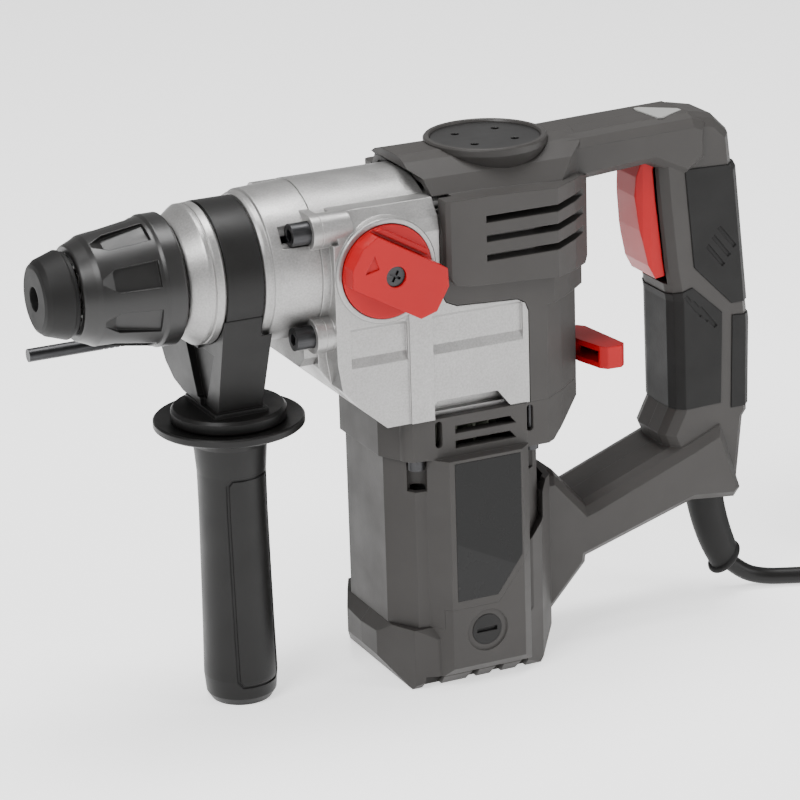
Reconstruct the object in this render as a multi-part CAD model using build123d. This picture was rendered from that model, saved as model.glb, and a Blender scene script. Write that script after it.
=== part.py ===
from build123d import *
import math
import os

# Rotary hammer. Millimetres. The spindle axis is the X axis, the tool points towards -X,
# +Z is up, and the origin is the middle of the tool socket's mouth.
FLOOR = -200.0              # surface that the tool stands on
SOCKET_RADIUS = 5.05        # shank bore of the tool holder
SOCKET_LENGTH = 12.0        # plain stretch of the bore at its mouth
TUBE_INNER = 14.0           # hammer tube that the piston and striker run in
TUBE_OUTER = 16.5
TUBE_START, TUBE_END = 60.0, 176.0
CASING_FRONT = 112.5        # joint between front cover and gear housing
CASING_RADIUS = 35.2
CASING_HALF = 38.0          # half width of the gear housing's flat sides
CASING_WALL = 3.6
CASING_BOTTOM = -72.0       # joint between gear housing and motor housing
MOTOR_X = 182.0             # motor axis, which stands upright
CRANK_X = 208.0             # crank axis, also upright
LAYSHAFT_X = 154.0          # intermediate shaft axis, also upright
CRANK_THROW = 11.0
ROD_LENGTH = 52.0
PINION_TEETH, CRANK_TEETH, LAYSHAFT_TEETH = 8, 44, 48
BEVEL_PINION_TEETH, BEVEL_GEAR_TEETH = 12, 36
BEVEL_PINION_RADIUS, BEVEL_GEAR_RADIUS = 8.0, 24.0
GEAR_LOW, GEAR_HIGH = -60.0, -48.0
BEARING_OUTER, BEARING_INNER, BEARING_WIDTH = 13.0, 6.0, 7.0
LOW_BEARING_OUTER = 9.5
RUNNING = 0.06              # radial play of a running fit
MOTOR_HALF = 36.0           # half width of the motor housing
HOUSING_WALL = 2.8
COLLAR_LOW = -91.0
POD_HALF = 44.0
GRIP_HALF = 17.5
TRIGGER_HALF = 11.4
BAR_HALF = 20.0
ARM_HALF = 22.0
SHELL_WALL = 3.0
KNOB_X, KNOB_Z, KNOB_RADIUS = 140.3, -0.2, 20.9
LID_RADIUS = 27.6
HANDLE_X = 80.0             # axis of the side grip, which hangs straight down
ROD_Y, ROD_Z, ROD_RADIUS = 42.0, -39.0, 3.0
LEVER_X = 238.0             # pivot of the rear lever
CORD_RADIUS = 4.0
COIL_X, COIL_Y, COIL_MIDDLE, COIL_HALF = 462.0, 25.0, 44.0, 12.0

MIN = (Align.CENTER, Align.CENTER, Align.MIN)


def x_rod(radius, x0, x1, y=0.0, z=0.0):
    return Pos(x0, y, z) * Rot(0, 90, 0) * Cylinder(radius, x1 - x0, align=MIN)


def y_rod(radius, y0, y1, x, z):
    return Pos(x, y0, z) * Rot(-90, 0, 0) * Cylinder(radius, y1 - y0, align=MIN)


def z_rod(radius, z0, z1, x, y=0.0):
    return Pos(x, y, z0) * Cylinder(radius, z1 - z0, align=MIN)


def block(x0, x1, y0, y1, z0, z1):
    middle = Pos((x0 + x1) / 2, (y0 + y1) / 2, (z0 + z1) / 2)
    return middle * Box(x1 - x0, y1 - y0, z1 - z0)


def side_prism(outline, y0, y1):
    """Outline of (x, z) points, pulled along Y."""
    face = make_face(Polyline(*[(x, y0, z) for x, z in outline], close=True))
    return extrude(face, y1 - y0, dir=(0, 1, 0))


def plan_prism(outline, z0, z1):
    """Outline of (x, y) points, pulled along Z."""
    face = make_face(Polyline(*[(x, y, z0) for x, y in outline], close=True))
    return extrude(face, z1 - z0, dir=(0, 0, 1))


def front_prism(outline, x0, x1):
    """Outline of (y, z) points, pulled along X."""
    face = make_face(Polyline(*[(x0, y, z) for y, z in outline], close=True))
    return extrude(face, x1 - x0, dir=(1, 0, 0))


def x_turned(*profile):
    """Profile of (x, radius) points, turned about the spindle axis."""
    return revolve(make_face(Polyline(*[(x, 0, r) for x, r in profile], close=True)), Axis.X, 360)


def z_turned(x, *profile):
    """Profile of (radius, z) points, turned about an upright axis at x."""
    face = make_face(Polyline(*[(x + r, 0, z) for r, z in profile], close=True))
    return revolve(face, Axis((x, 0, 0), (0, 0, 1)), 360)


def y_turned(x, z, *profile):
    """Profile of (radius, y) points, turned about a crosswise axis at x, z."""
    face = make_face(Polyline(*[(x + r, y, z) for r, y in profile], close=True))
    return revolve(face, Axis((x, 0, z), (0, 1, 0)), 360)


def tube(outer, inner):
    return outer - inner


def both_sides(half):
    return half + mirror(half, about=Plane.XZ)


def mirrored(half_outline):
    """Closes a plan outline of points with y at or below zero by its mirror image."""
    return half_outline + [(x, -y) for x, y in reversed(half_outline) if y != 0]


def grown_side(outline, amount, y0, y1):
    flat = make_face(Polyline(*[(a, b) for a, b in outline], close=True))
    grown = offset(flat, amount, kind=Kind.INTERSECTION)
    return Pos(0, y1, 0) * Rot(90, 0, 0) * extrude(grown, y1 - y0)


def grown_plan(outline, amount, z0, z1):
    flat = make_face(Polyline(*[(a, b) for a, b in outline], close=True))
    grown = offset(flat, amount, kind=Kind.INTERSECTION)
    return Pos(0, 0, z0) * extrude(grown, z1 - z0)


def beam(outline, half_width, inset=0.0):
    """A member of the rear handle: flat sides with two rows of facets along every edge."""
    flat = make_face(Polyline(*[(a, b) for a, b in outline], close=True))
    full = half_width - inset
    core = offset(flat, -inset, kind=Kind.INTERSECTION) if inset else flat
    step = offset(core, -1.6, kind=Kind.INTERSECTION)
    flank = extrude(core, 4.55, taper=math.degrees(math.atan(1.6 / 4.5)))
    edge = extrude(step, 3.55, taper=math.degrees(math.atan(3.4 / 3.5)))
    half = extrude(core, full - 8.0) + Pos(0, 0, full - 8.05) * flank + Pos(0, 0, full - 3.55) * edge
    return Rot(90, 0, 0) * (half + mirror(half, about=Plane.XY))


def disc_gear(teeth, x, phase, bore):
    """Straight trapezoid teeth of module 1 with free play at the flanks."""
    pitch = teeth / 2.0
    root, tip = pitch - 1.0, pitch + 0.7
    points = []
    for k in range(teeth):
        middle = phase + k * 360.0 / teeth
        for radius, share in ((root, -0.27), (tip, -0.13), (tip, 0.13), (root, 0.27)):
            angle = math.radians(middle + share * 360.0 / teeth)
            points.append((x + radius * math.cos(angle), radius * math.sin(angle)))
    return plan_prism(points, GEAR_LOW, GEAR_HIGH) - z_rod(bore, GEAR_LOW - 1, GEAR_HIGH + 1, x)


def bearing(radius_in, radius_out, width):
    """Deep-groove ball bearing drawn as one ring with a groove on both faces."""
    middle = (radius_in + radius_out) / 2
    ring = Cylinder(radius_out, width, align=MIN) - Cylinder(radius_in, width, align=MIN)
    groove = Cylinder(middle + 1.2, 0.8, align=MIN) - Cylinder(middle - 1.2, 0.8, align=MIN)
    return ring - groove - Pos(0, 0, width - 0.8) * groove


# ---------------------------------------------------------------- chuck and striking parts

def dust_cap():
    return x_turned((-6, 5.4), (-6, 13.2), (-5.3, 14.9), (-3.2, 16.6), (5.4, 19.4), (6.2, 19.2),
                    (6.4, 18.2),
                    (8.4, 18.2), (8.4, 15.6), (3.5, 14.0), (3.5, 10.3), (0, 10.3), (0, 5.4))


def locking_sleeve():
    body = x_turned((9.4, 17.4), (9.4, 20.2), (10.0, 20.8), (15, 22.9), (17, 24.0), (43.5, 28.1),
                    (45, 28.9),
                    (52.2, 28.9), (53, 28.2), (53, 27.4), (46, 26.7), (36, 24.4), (36, 18.2), (20, 18.2),
                    (20, 12.5), (12.5, 12.5), (12.5, 17.4))
    flute = side_prism([(15.5, 24.6), (23, 22.2), (42, 26.0), (42, 34), (15.5, 34)], -20, 20)
    point = plan_prism([(15.5, 0), (24, -5.2), (42, -5.9), (42, 5.9), (24, 5.2)], 18, 36)
    for k in range(8):
        body -= Rot(22.5 + 45 * k, 0, 0) * (flute & point)
    return body


def sleeve_spring():
    coil = Helix(pitch=2.95, height=11.8, radius=14.6, center=(21.6, 0, 0), direction=(1, 0, 0))
    section = Plane(coil @ 0, z_dir=coil % 0) * Circle(0.8)
    return sweep(section, path=coil, is_frenet=True)


def locking_balls():
    return both_sides(Pos(24, -7.4, 0) * Sphere(3.4))


def tool_holder():
    body = x_turned((0, 0), (0, 10.1), (3.4, 10.1), (14, 10.1), (14, 12.2), (34.5, 12.2), (34.5, 15.6),
                    (50, 15.6),
                    (50, TUBE_OUTER), (TUBE_START, TUBE_OUTER), (TUBE_START, TUBE_INNER),
                    (66, TUBE_INNER),
                    (66, 0))
    body -= x_rod(SOCKET_RADIUS, -1, SOCKET_LENGTH) + x_rod(5.6, SOCKET_LENGTH, SOCKET_LENGTH + 1)
    body -= x_rod(5.2, SOCKET_LENGTH, 40) + x_rod(7.0, 40, 67)
    body -= y_rod(3.6, -13, 13, 24, 0)
    for side in (-1, 1):
        body += block(14, 33, -1.3, 1.3, min(side * 3.9, side * 6), max(side * 3.9, side * 6))
    return body


def impact_bolt():
    return x_turned((42, 0), (42, 4.4), (43, 5.4), (44, 6.9), (69, 6.9), (70, 13.9), (78, 13.9),
                    (79, 8.5),
                    (84, 8.5), (84, 0))


def hammer_tube():
    body = x_rod(TUBE_OUTER, TUBE_START, TUBE_END) - x_rod(TUBE_INNER, TUBE_START - 1, TUBE_END + 1)
    for k in range(6):
        body -= Rot(60 * k, 0, 0) * z_rod(1.6, 10, 20, 103)
    return body


def striker():
    return x_turned((92, 0), (92, 8.4), (93, 9), (99, 9), (100, 13.9), (112, 13.9), (112, 12.6),
                    (115, 12.6),
                    (115, 13.9), (120, 13.9), (120, 9.5), (105, 9.5), (105, 0))


def piston():
    body = x_turned((128, 0), (128, 13.9), (133, 13.9), (133, 12.6), (136, 12.6), (136, 13.9),
                    (154, 13.9),
                    (154, 10.8), (136.5, 10.8), (136.5, 0))
    return body - z_rod(4.0, -15, 15, 145)


def piston_pin():
    return z_rod(4.0, -12.8, 12.8, 145)


def connecting_rod():
    big_end = 145 + ROD_LENGTH
    shank = plan_prism([(145, -4.4), (big_end, -6), (big_end, 6), (145, 4.4)], -4.0, 4.0)
    body = z_rod(6.8, -5, 5, 145) + shank + z_rod(10.2, -6, 6, big_end)
    return body - z_rod(4.0 + RUNNING, -7, 7, 145) - z_rod(5.4, -7, 7, big_end)


def crankshaft():
    pin_x = CRANK_X - CRANK_THROW
    body = z_rod(BEARING_INNER, -70.7, -33, CRANK_X) + z_rod(9, -33, -16, CRANK_X)
    weight = z_rod(17, -16, -9, CRANK_X) - block(CRANK_X - 20, CRANK_X - 4, 9, 20, -17, -8)
    weight -= block(CRANK_X - 20, CRANK_X - 4, -20, -9, -17, -8)
    return body + weight + z_rod(5, -9, -6.5, pin_x)


def crank_gear():
    gear = disc_gear(CRANK_TEETH, CRANK_X, 180.0 / CRANK_TEETH, BEARING_INNER)
    for k in range(6):
        angle = math.radians(60 * k)
        gear -= z_rod(3, GEAR_LOW - 1, GEAR_HIGH + 1, CRANK_X + 13 * math.cos(angle),
                      13 * math.sin(angle))
    return gear


def bevel_tooth(large, small, depth, axis, share_degrees):
    """One wedge tooth standing on the pitch cone between two points of the x, z plane."""
    run = (small[0] - large[0], small[1] - large[1])
    size = math.hypot(*run)
    normal = (-run[1] / size * depth, run[0] / size * depth)
    corners = [large, small]
    corners += [(small[0] + normal[0] * 0.7, small[1] + normal[1] * 0.7)]
    corners += [(large[0] + normal[0], large[1] + normal[1])]
    face = make_face(Polyline(*[(x, 0, z) for x, z in corners], close=True))
    return axis_turn(revolve(face, axis, share_degrees), axis, -share_degrees / 2)


def axis_turn(shape, axis, degrees):
    return shape.rotate(axis, degrees)


def bevel_gear():
    axis = Axis.X
    back = x_turned((137, TUBE_OUTER), (137, 24), (139, 25.6), (145.1, 25.6), (147.2, 18.2),
                    (147.2, TUBE_OUTER))
    large, small = (144.9, -25.3), (147.1, -18.3)
    tooth = bevel_tooth(large, small, -1.5, axis, 3.4)
    step = 360.0 / BEVEL_GEAR_TEETH
    teeth = [axis_turn(tooth, axis, (k + 0.5) * step) for k in range(BEVEL_GEAR_TEETH)]
    return Compound(back.solids()).fuse(*[t for one in teeth for t in one.solids()])


def layshaft():
    """Intermediate shaft with the bevel pinion cut on its top end."""
    axis = Axis((LAYSHAFT_X, 0, 0), (0, 0, 1))
    x = LAYSHAFT_X
    cone = z_turned(x, (0, -32.5), (6.2, -32.5), (6.2, -25.2), (6.6, -25.2), (4.6, -17.6), (0, -17.6))
    shaft = z_rod(BEARING_INNER, -70.7, -32.5, x)
    tooth = bevel_tooth((x - 6.5, -25.1), (x - 4.7, -17.8), 2.0, axis, 10.0)
    step = 360.0 / BEVEL_PINION_TEETH
    teeth = [axis_turn(tooth, axis, k * step) for k in range(BEVEL_PINION_TEETH)]
    whole = cone + shaft
    return Compound(whole.solids()).fuse(*[t for one in teeth for t in one.solids()])


def layshaft_gear():
    return disc_gear(LAYSHAFT_TEETH, LAYSHAFT_X, 180.0 / LAYSHAFT_TEETH, BEARING_INNER)


def shaft_bearings():
    upper = bearing(BEARING_INNER + RUNNING, BEARING_OUTER, BEARING_WIDTH)
    lower = bearing(BEARING_INNER + RUNNING, LOW_BEARING_OUTER, BEARING_WIDTH)
    rings = []
    for x in (LAYSHAFT_X, CRANK_X):
        rings += [Pos(x, 0, -71) * lower, Pos(x, 0, -40) * upper]
    return rings


def tube_bearings():
    one = bearing(TUBE_OUTER + RUNNING, 24.0, 9.0)
    return [Pos(x, 0, 0) * Rot(0, 90, 0) * one for x in (73.0, 164.0)]


def oil_seal():
    return x_turned((58, TUBE_OUTER + 0.2), (58, 22.4), (63, 22.4), (63, 20.4), (60, 20.4), (60, 18.4),
                    (62, 18.4), (62, TUBE_OUTER + 0.2))


# ---------------------------------------------------------------- gearbox castings

def front_cover():
    body = x_turned((55, 17.4), (55, 25.2), (55.8, 25.9), (62.2, 30.5), (62.9, 30.9), (64.5, 30.9),
                    (65.0, 30.2),
                    (65.5, 30.9), (68.6, 31.1), (69, 30.8), (69, 29.5), (87.3, 29.5), (87.3, 32.0),
                    (88.6, 32.6), (90.6, 32.6), (91.2, 33.7), (CASING_FRONT, 34.6), (CASING_FRONT, 30.5),
                    (92, 30.5), (83, 27), (83, 24), (66, 24), (66, 22.4), (57.5, 22.4), (57.5, 17.4))
    for side in (-1, 1):
        for z in (19.6, -27.1):
            ear = x_rod(7.6, 108, CASING_FRONT, side * 30, z)
            ear += block(108, CASING_FRONT, min(side * 20, side * 30), max(side * 20, side * 30), z - 7.6,
                         z + 7.6)
            body += ear - x_rod(30.5, 100, 120)
    apron = front_prism([(-26, -20), (-26, -38), (-20, -43.5), (20, -43.5), (26, -38), (26, -20)], 106,
                        CASING_FRONT)
    body += apron - x_rod(30.5, 100, 120)
    for side in (-1, 1):
        for z in (19.6, -27.1):
            body -= x_rod(5.6, 96, 108, side * 30, z) + x_rod(3.0, 100, 120, side * 30, z)
    return body


def cover_screws():
    screws = []
    for side in (-1, 1):
        for z in (19.6, -27.1):
            head = x_rod(5.1, 99.4, 108, side * 30, z)
            hexagon = Pos(98, side * 30, z) * Rot(0, 90, 0) * extrude(RegularPolygon(2.9, 6), 5.4)
            screws.append(head - hexagon + x_rod(3.0, 108, 124, side * 30, z))
    return screws


SHROUD_SIDE = [(161, 60), (161, 37), (165.5, 33.5), (166.8, 27), (166.8, -15), (169, -19.2), (174, -21.4),
               (203.5, -23.2), (207.5, -25.4), (209.1, -29.5), (209.1, CASING_BOTTOM),
               (262, CASING_BOTTOM),
               (262, 60)]
SHROUD_PLAN_LOW = mirrored([(150, 0), (150, -38), (218, -38), (229, -30), (242.5, -18), (244.5, 0)])
SHROUD_PLAN_HIGH = mirrored([(150, 0), (150, -38), (222, -38), (234, -29), (246, -18), (248, 0)])
SHROUD_FRONT = [(-38, CASING_BOTTOM), (-38, 11), (-32, 26), (-25, 33.5), (-15, 39), (-8, 41), (8, 41),
                (15, 39), (25, 33.5), (32, 26), (38, 11), (38, CASING_BOTTOM)]
BULGE_SIDE = [(168, 27), (168, -6), (172, -11), (178, -12.5), (216, -14.5), (246, -17.5), (250, -12),
              (250, 22),
              (240, 25), (190, 27)]


def shroud(inset):
    """The hood over the back of the gearbox, or with an inset the space inside it."""
    side = side_prism(SHROUD_SIDE, -60, 60) if inset == 0 else block(150, 262, -60, 60, CASING_BOTTOM - 1,
            60)
    low = grown_plan(SHROUD_PLAN_LOW, -inset, CASING_BOTTOM - 1, -28)
    high = grown_plan(SHROUD_PLAN_HIGH, -inset, -28, 60)
    flat = make_face(Polyline(*SHROUD_FRONT, close=True))
    grown = offset(flat, -inset, kind=Kind.INTERSECTION) if inset else flat
    cross = Pos(150, 0, 0) * Rot(0, 0, 90) * Rot(90, 0, 0) * extrude(grown, 262 - 150)
    if inset:
        cross += block(150, 262, -(38 - inset), 38 - inset, CASING_BOTTOM - 1, -60)
    body = (low + high) & cross & side
    if inset == 0:
        ridge = side_prism(BULGE_SIDE, -42.5, 42.5) & plan_prism(
            mirrored([(160, 0), (160, -36), (170, -42.5), (222, -42.5), (236, -32), (248, -20),
                      (250, 0)]), -60, 60)
        body += ridge
    return body


def gear_housing():
    flank = [(116.5, 14), (116.5, -39), (118.5, -52), (126, -60.5), (139, CASING_BOTTOM),
             (209.1, CASING_BOTTOM), (209.1, 14)]
    sides = side_prism(flank, -CASING_HALF, CASING_HALF)
    shoulder = front_prism([(-CASING_HALF, 13.9), (-36.5, 20), (-31, 27), (31, 27), (36.5, 20),
                            (CASING_HALF, 13.9)],
                           119, 172)
    belly = side_prism([(CASING_FRONT, 0), (CASING_FRONT, -43.5), (122.4, -57.8), (139, CASING_BOTTOM),
                        (160, CASING_BOTTOM), (160, 0)], -26, 26)
    body = x_rod(CASING_RADIUS, CASING_FRONT, 176) + sides + shoulder + belly
    body += y_turned(KNOB_X, KNOB_Z, (0, 0), (23.6, 0), (23.6, -39.2), (23.0, -39.8), (0, -39.8))
    for side in (-1, 1):
        for z in (19.6, -27.1):
            body += x_rod(7.6, CASING_FRONT, 126, side * 30, z)
    body += block(150.5, 161.5, -39.2, 38.4, CASING_BOTTOM, -21)
    body -= grown_side(SHROUD_SIDE, 0.4, -60, 60)
    recess = [(-39, -24.5), (-37.6, -24.5), (-36.6, -26), (-36.6, -38.2), (-38.1, -42.6), (-39, -42.6)]
    for x0, x1 in ((123, 150), (162, 206)):
        body -= both_sides(front_prism(recess, x0, x1))
    rear = block(160, 231, -34.4, 34.4, CASING_BOTTOM, 26) & plan_prism(
        mirrored([(160, 0), (160, -34.4), (214, -34.4), (231, -20), (231, 0)]), -80, 40)
    body += rear & shroud(3.6)
    hollow = x_rod(30.5, CASING_FRONT - 1, 168)
    hollow += block(121, 167, -34.4, 34.4, -50, 13)
    hollow += side_prism([(121, -40), (122.5, -50), (130, -58), (143, -66), (143, -73), (204, -73),
                          (204, -40)],
                         -34.4, 34.4)
    hollow += side_prism([(116, 0), (116, -42), (125.5, -56), (141, -69), (150, -69), (150, 0)], -22.5,
                         22.5)
    hollow += block(160, 227.5, -31, 31, -73, 22) & plan_prism(
        mirrored([(160, 0), (160, -31), (213, -31), (227.5, -18), (227.5, 0)]), -80, 40)
    body -= hollow
    web = block(126, 226, -33.4, 33.4, -41, -32) & hollow
    web -= z_rod(BEARING_OUTER, -41, -33, LAYSHAFT_X) + z_rod(10.5, -41, -31, LAYSHAFT_X)
    web -= z_rod(BEARING_OUTER, -41, -33, CRANK_X) + z_rod(10.5, -41, -31, CRANK_X)
    collar = block(163, 174, -34.6, 34.6, -33, 21) & (hollow + body)
    body += web + collar
    body -= x_rod(24, 155, 178) + z_rod(10.5, -33, -20, LAYSHAFT_X) + block(204, 232, -24, 24, -7.5, 7.5)
    body -= z_rod(25.5, -61.5, -46.5, LAYSHAFT_X) + z_rod(23.4, -61.5, -46.5, CRANK_X)
    body -= z_rod(17.5, 20, 30, CRANK_X)
    body -= y_rod(21.3, -41, -36.2, KNOB_X, KNOB_Z) + y_rod(6.0 + RUNNING, -41, -28, KNOB_X, KNOB_Z)
    for side in (-1, 1):
        for z in (19.6, -27.1):
            body -= x_rod(3.0, CASING_FRONT - 1, 124, side * 30, z)
        window = [(161.5, CASING_BOTTOM - 1), (161.5, -66.5), (163.5, -64), (193, -64),
                  (200, CASING_BOTTOM - 1)]
        body -= side_prism(window, min(side * 30, side * 42), max(side * 30, side * 42))
    return body


def gear_plate():
    lower = mirrored([(150, 0), (150, -34), (203, -34), (203, -31), (212, -30), (226.5, -18), (226.5, 0)])
    upper = mirrored([(143.1, 0), (143.1, -20), (150, -31), (212, -30), (226.5, -18), (226.5, 0)])
    plate = plan_prism(lower, CASING_BOTTOM, -70) + plan_prism(upper, CASING_BOTTOM, -62.5)
    plate -= z_rod(11, -73, -64, MOTOR_X) + z_rod(6.2, -73, -60, MOTOR_X)
    for x in (LAYSHAFT_X, CRANK_X):
        plate -= z_rod(LOW_BEARING_OUTER, -71, -60, x)
    return plate


def selector_knob():
    body = y_rod(KNOB_RADIUS, -40.6, -36.4, KNOB_X, KNOB_Z)
    bar = [(-20.4, -5), (-16.5, -12.3), (20, -12.3), (25.4, -6.5), (25.4, 5.5), (21, 12.3), (-16.5, 12.3),
           (-20.4, 5)]
    rib = [(-15.5, 13.8), (13.5, 13.8), (12.5, 16), (-12.5, 16)]
    grip = side_prism(bar, -49.4, -40.6) + side_prism(rib, -43.2, -40.6)
    grip -= side_prism([(-14, 4.5), (-14, -4.5), (-9, 0)], -50, -48.6)
    body += Pos(KNOB_X, 0, KNOB_Z) * Rot(0, 30, 0) * grip
    body -= y_rod(4.7, -50, -44.5, KNOB_X, KNOB_Z)
    body += y_rod(6.0, -36.5, -30, KNOB_X, KNOB_Z) + y_rod(1.9, -30.5, -26.2, KNOB_X, KNOB_Z + 4)
    return body - y_rod(2.0, -45, -31, KNOB_X, KNOB_Z)


def knob_screw():
    head = y_rod(4.5, -48.2, -44.5, KNOB_X, KNOB_Z)
    for turn in (0, 90):
        head -= Pos(KNOB_X, -48, KNOB_Z) * Rot(0, turn + 30, 0) * Box(5.4, 2.4, 1.1)
    return head + y_rod(2.0, -44.5, -32, KNOB_X, KNOB_Z)


def shift_fork():
    """Strip moved by the knob's eccentric pin; its ring holds the clutch on the hammer tube."""
    strip = block(124, KNOB_X + 7, -28.8, -26.8, -6, 9)
    strip -= block(KNOB_X - 3.4, KNOB_X + 3.4, -30, -26, -3, 6.6)
    ring = (x_rod(20, 124, 127) - x_rod(TUBE_OUTER + 0.4, 123, 128)) & block(123, 128, -21, -4, -21, 21)
    return strip + ring + block(124, 127, -28.8, -18.5, -6, 6)


def function_lever():
    outline = [(239.5, -5.2), (245.6, -6.5), (246.2, -13.5), (249.6, -27.5), (252.2, -30.6), (258.8, -31),
               (261.6, -28.3), (258.2, 2.4), (255.5, 5.6), (246, 6.4), (239.5, 5.2)]
    body = plan_prism(outline, -66.4, -56) + z_rod(6.2, -66.4, -56, LEVER_X)
    tunnel = block(250, 256.8, -26.5, 1.5, -63.9, -58.5) & plan_prism(
        [(247, 1.5), (247, -14), (251.5, -26.5), (257.2, -26.5), (254.6, 1.5)], -70, -50)
    body -= tunnel + block(244.9, 254, -26.5, -9, -63.9, -58.5)
    return body - z_rod(2.5 + RUNNING, -70, -50, LEVER_X)


# ---------------------------------------------------------------- motor

HOUSING_PLAN = mirrored([(144.3, 0), (144.3, -20), (153, -34.4), (163, -MOTOR_HALF), (206, -MOTOR_HALF),
                         (217, -27), (220, -17), (220, 0)])
POD_PLAN = mirrored([(158, 0), (158, -35), (165.5, -POD_HALF), (201.5, -POD_HALF), (207, -39), (209, -30),
                     (209, 0)])
CAP_PLAN = mirrored([(139.6, 0), (140.2, -16), (150, -36), (160, -39.2), (204, -39.2), (216, -33),
                     (226, -22),
                     (230, 0)])
SEAM = [(130, -171), (163, -171), (163, -161.5), (188.4, -161.5), (203, -142.7), (217.7, -130.5),
        (217.9, -118.5),
        (221.3, -114.4), (240, -114.4), (240, -210), (130, -210)]


def motor_column(amount, z0, z1):
    return grown_plan(HOUSING_PLAN, amount, z0, z1)


def motor_housing():
    body = motor_column(0, -171, CASING_BOTTOM)
    body += plan_prism(POD_PLAN, -171, COLLAR_LOW)
    body += motor_column(2.4, COLLAR_LOW, CASING_BOTTOM)
    for side in (-1, 1):
        for x in (154.5, 211):
            body += z_rod(6.6, COLLAR_LOW, CASING_BOTTOM, x, side * 30.5)
    skirt = plan_prism(SHROUD_PLAN_LOW, -80, CASING_BOTTOM) & block(206, 250, -50, 50, -80, CASING_BOTTOM)
    wedge = side_prism([(206, -72), (206, -93), (222.2, -93), (245, -79), (245, -72)], -38, 38)
    body += skirt + (wedge & plan_prism(SHROUD_PLAN_LOW, -95, CASING_BOTTOM))
    body -= motor_column(-HOUSING_WALL, -175, CASING_BOTTOM + 1)
    body += ring_for_screws()
    body -= side_prism(SEAM, -60, 60)
    for side in (-1, 1):
        near, far = min(side * 30, side * 50), max(side * 30, side * 50)
        for x in (163.5, 208.6):
            slot = block(x - 1.7, x + 1.7, near, far, -84, -75) + y_rod(1.7, near, far, x, -84)
            body -= slot + y_rod(1.7, near, far, x, -75)
        for z in (-78.5, -85.5):
            body -= side_prism([(171.5, z - 1.8), (171.5, z + 1.8), (198.5, z + 1.8), (201.5, z - 1.8)],
                               near, far)
        for x in (154.5, 211):
            spot = side * 33.2
            body -= z_rod(4.5, -106, COLLAR_LOW, x, spot) + z_rod(2.5, COLLAR_LOW - 1, CASING_BOTTOM + 1,
                    x, spot)
        body -= label_outline(side, POD_HALF - 0.9, POD_HALF + 1)
    return body


def ring_for_screws():
    """Solid corners inside the collar that the upright housing screws pass through."""
    posts = None
    for side in (-1, 1):
        for x in (154.5, 211):
            post = z_rod(6.6, -104, CASING_BOTTOM, x, side * 31) & motor_column(0, -104, CASING_BOTTOM)
            posts = post if posts is None else posts + post
    return posts


def label_outline(side, y_in, y_out):
    outline = [(168.2, -92.5), (168.2, -157.8), (188, -157.8), (200.6, -140.8), (200.6, -92.5)]
    return side_prism(outline, min(side * y_in, side * y_out), max(side * y_in, side * y_out))


def label_plates():
    return [label_outline(side, POD_HALF - 0.9, POD_HALF + 0.1) for side in (-1, 1)]


def housing_screws():
    screws = []
    for side in (-1, 1):
        for x in (154.5, 211):
            y = side * 33.2
            head = z_rod(3.7, -95.5, COLLAR_LOW, x, y) - z_rod(1.9, -96, -93, x, y)
            screws.append(head + z_rod(2.5, COLLAR_LOW, CASING_BOTTOM, x, y))
    return screws


def armature_shaft():
    points = []
    for k in range(PINION_TEETH):
        for radius, share in ((2.9, -0.27), (4.6, -0.12), (4.6, 0.12), (2.9, 0.27)):
            angle = math.radians((k + share) * 360.0 / PINION_TEETH)
            points.append((MOTOR_X + radius * math.cos(angle), radius * math.sin(angle)))
    return z_rod(5, -195.5, -62, MOTOR_X) + plan_prism(points, -62, -46)


def armature_core():
    body = z_rod(20, -150, -104, MOTOR_X) - z_rod(5, -151, -103, MOTOR_X)
    for k in range(12):
        body -= Pos(MOTOR_X, 0, 0) * Rot(0, 0, 30 * k) * block(15, 21, -0.9, 0.9, -151, -103)
    return body


def armature_windings():
    low = z_turned(MOTOR_X, (5, -162), (15, -162), (18.6, -158), (18.6, -150), (5, -150))
    high = z_turned(MOTOR_X, (5, -104), (18.6, -104), (18.6, -99), (15.5, -95), (5, -95))
    return [low, high]


def commutator():
    body = z_rod(13, -183, -165, MOTOR_X) - z_rod(5, -184, -164, MOTOR_X)
    for k in range(24):
        body -= Pos(MOTOR_X, 0, 0) * Rot(0, 0, 15 * k) * block(12.2, 14, -0.25, 0.25, -184, -167)
    return body


def fan():
    body = z_rod(27, -79.5, -77.5, MOTOR_X) + z_rod(9, -92, -77.5, MOTOR_X)
    for k in range(18):
        body += Pos(MOTOR_X, 0, 0) * Rot(0, 0, 20 * k) * block(13, 26.6, -0.8, 0.8, -92, -79.5)
    return body - z_rod(5, -94, -76, MOTOR_X)


def armature_bearings():
    one = bearing(5 + RUNNING, 11.0, 7.0)
    return [Pos(MOTOR_X, 0, z) * one for z in (-196, -71)]


def stator_core():
    body = z_rod(32.2, -150, -104, MOTOR_X) & block(140, 230, -31.5, 31.5, -151, -103)
    body -= z_rod(20.7, -151, -103, MOTOR_X)
    for side in (-1, 1):
        body -= Pos(MOTOR_X, 0, 0) * block(side * 24 - 3, side * 24 + 3, -13, 13, -151, -103)
    return body


def field_coils():
    coils = []
    for z0, z1 in ((-159, -150), (-104, -96)):
        ring = z_rod(30.5, z0, z1, MOTOR_X) - z_rod(21, z0 - 1, z1 + 1, MOTOR_X)
        for side in (-1, 1):
            coils.append(ring & block(140, 230, min(side * 3, side * 33), max(side * 3, side * 33), z0,
                                      z1))
    return coils


def brush_caps():
    caps = []
    for side in (-1, 1):
        cap = y_rod(7.2, 38.2, 43.4, MOTOR_X + 0.5, -173.9) - block(MOTOR_X - 4.5, MOTOR_X + 5.5, 42, 44,
                -174.9, -172.9)
        caps.append(cap if side > 0 else mirror(cap, about=Plane.XZ))
    return caps


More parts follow.
